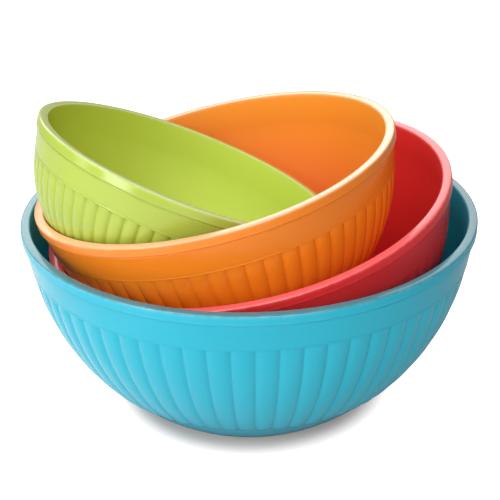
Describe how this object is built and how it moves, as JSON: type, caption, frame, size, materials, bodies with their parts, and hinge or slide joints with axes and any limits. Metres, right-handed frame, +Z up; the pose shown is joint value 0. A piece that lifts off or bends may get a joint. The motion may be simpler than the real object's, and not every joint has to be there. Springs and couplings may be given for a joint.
{
  "type": "nesting mixing bowl set",
  "caption": "Ribbed plastic mixing bowls in graded sizes and colours, each with a rounded lip and a flat foot, piled at loose tilts inside the largest; each lifts out.",
  "frame": {"origin": "centre of the largest bowl's foot, on the surface that the nest stands on", "axes": "+Z up; the nest is seen from -Y, with the smallest bowl on the -X side"},
  "size_m": [0.305, 0.305, 0.2113],
  "materials": {
    "blue_plastic": "smooth moulded plastic, semi-gloss",
    "red_plastic": "smooth moulded plastic, semi-gloss",
    "orange_plastic": "smooth moulded plastic, semi-gloss",
    "green_plastic": "smooth moulded plastic, semi-gloss"
  },
  "bodies": {
    "blue": {"blue_bowl": "blue_plastic"},
    "red": {"red_bowl": "red_plastic"},
    "orange": {"orange_bowl": "orange_plastic"},
    "green": {"green_bowl": "green_plastic"}
  },
  "joints": [
    {"name": "red_lift", "type": "slide", "parent": "blue", "child": "red", "axis": [0, 0, 1], "range_m": [0, 0.14]},
    {"name": "orange_lift", "type": "slide", "parent": "red", "child": "orange", "axis": [0, 0, 1], "range_m": [0, 0.125]},
    {"name": "green_lift", "type": "slide", "parent": "orange", "child": "green", "axis": [0, 0, 1], "range_m": [0, 0.135]}
  ]
}
